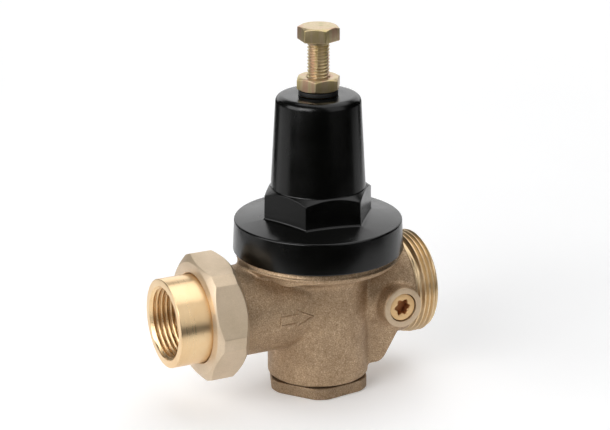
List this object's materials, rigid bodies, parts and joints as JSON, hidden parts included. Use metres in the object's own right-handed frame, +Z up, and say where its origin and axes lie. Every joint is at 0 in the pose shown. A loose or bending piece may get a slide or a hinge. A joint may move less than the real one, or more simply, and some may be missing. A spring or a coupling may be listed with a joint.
{
  "type": "pressure reducing valve",
  "caption": "Water pressure reducing valve: bronze body, black spring bonnet with adjusting screw and lock nut, union inlet tail, male threaded outlet, gauge port and screwed bottom cap.",
  "frame": {"origin": "centre of the bottom cap's underside, on the axis of the valve's bonnet and adjusting screw", "axes": "+Z up the valve axis to the adjusting screw, +X along the flow from the union inlet to the threaded outlet, -Y to the side with the gauge boss"},
  "size_m": [0.1278, 0.0778, 0.1694],
  "materials": {
    "cast_bronze": "cast, speckled, satin",
    "polished_brass": "machined, polished",
    "matte_brass": "matte",
    "black_plastic": "glossy, moulded",
    "yellow_zinc": "yellow zinc plated",
    "spring_steel": "drawn wire",
    "black_rubber": "matte",
    "gasket_fibre": "matte",
    "white_acetal": "satin"
  },
  "bodies": {
    "housing": {"valve_body": "cast_bronze", "bottom_cap": "cast_bronze", "cap_oring": "black_rubber", "bonnet": "black_plastic", "threaded_insert": "polished_brass", "slip_ring": "white_acetal", "diaphragm": "black_rubber", "main_spring": "spring_steel", "seat_cartridge": "polished_brass", "cartridge_upper_oring": "black_rubber", "cartridge_lower_oring": "black_rubber", "cartridge_retainer": "polished_brass", "strainer_screen": "spring_steel", "gauge_plug": "polished_brass", "plug_seal": "black_rubber"},
    "regulator": {"stem": "polished_brass", "stem_nut": "yellow_zinc", "diaphragm_plate": "yellow_zinc", "diaphragm_backing": "polished_brass", "piston_oring": "black_rubber", "disc_holder": "polished_brass", "seat_disc": "black_rubber", "disc_washer": "spring_steel", "disc_nut": "yellow_zinc"},
    "spring_seat": {"spring_button": "yellow_zinc"},
    "screw": {"adjusting_screw": "yellow_zinc"},
    "washer": {"lock_washer": "black_rubber"},
    "nut": {"lock_nut": "yellow_zinc"},
    "tail": {"tailpiece": "polished_brass", "union_gasket": "gasket_fibre"},
    "union": {"union_nut": "matte_brass"}
  },
  "joints": [
    {"name": "regulator_lift", "type": "slide", "parent": "housing", "child": "regulator", "axis": [0, 0, 1], "range_m": [0, 0.0018], "deforming": ["diaphragm", "main_spring"]},
    {"name": "screw_travel", "type": "slide", "parent": "housing", "child": "spring_seat", "axis": [0, 0, 1], "range_m": [-0.009, 0.006], "deforming": ["main_spring"]},
    {"name": "screw_turn", "type": "hinge", "parent": "spring_seat", "child": "screw", "pos_m": [0, 0, 0.113], "axis": [0, 0, 1], "range_deg": [-2160, 1440]},
    {"name": "lock_nut_travel", "type": "slide", "parent": "housing", "child": "washer", "axis": [0, 0, 1], "range_m": [0, 0.003]},
    {"name": "lock_nut_turn", "type": "hinge", "parent": "washer", "child": "nut", "pos_m": [0, 0, 0.1406], "axis": [0, 0, 1], "range_deg": [0, 720]},
    {"name": "union_travel", "type": "slide", "parent": "housing", "child": "tail", "axis": [-1, 0, 0], "range_m": [0, 0.00693]},
    {"name": "union_nut_turn", "type": "hinge", "parent": "tail", "child": "union", "pos_m": [-0.054, 0, 0.042], "axis": [-1, 0, 0], "range_deg": [0, 1080]}
  ],
  "couplings": [
    {"joint": "screw_turn", "follows": "screw_travel", "rad_per_m": 4188.8},
    {"joint": "lock_nut_turn", "follows": "lock_nut_travel", "rad_per_m": 4188.8},
    {"joint": "union_nut_turn", "follows": "union_travel", "rad_per_m": 2721.2}
  ]
}
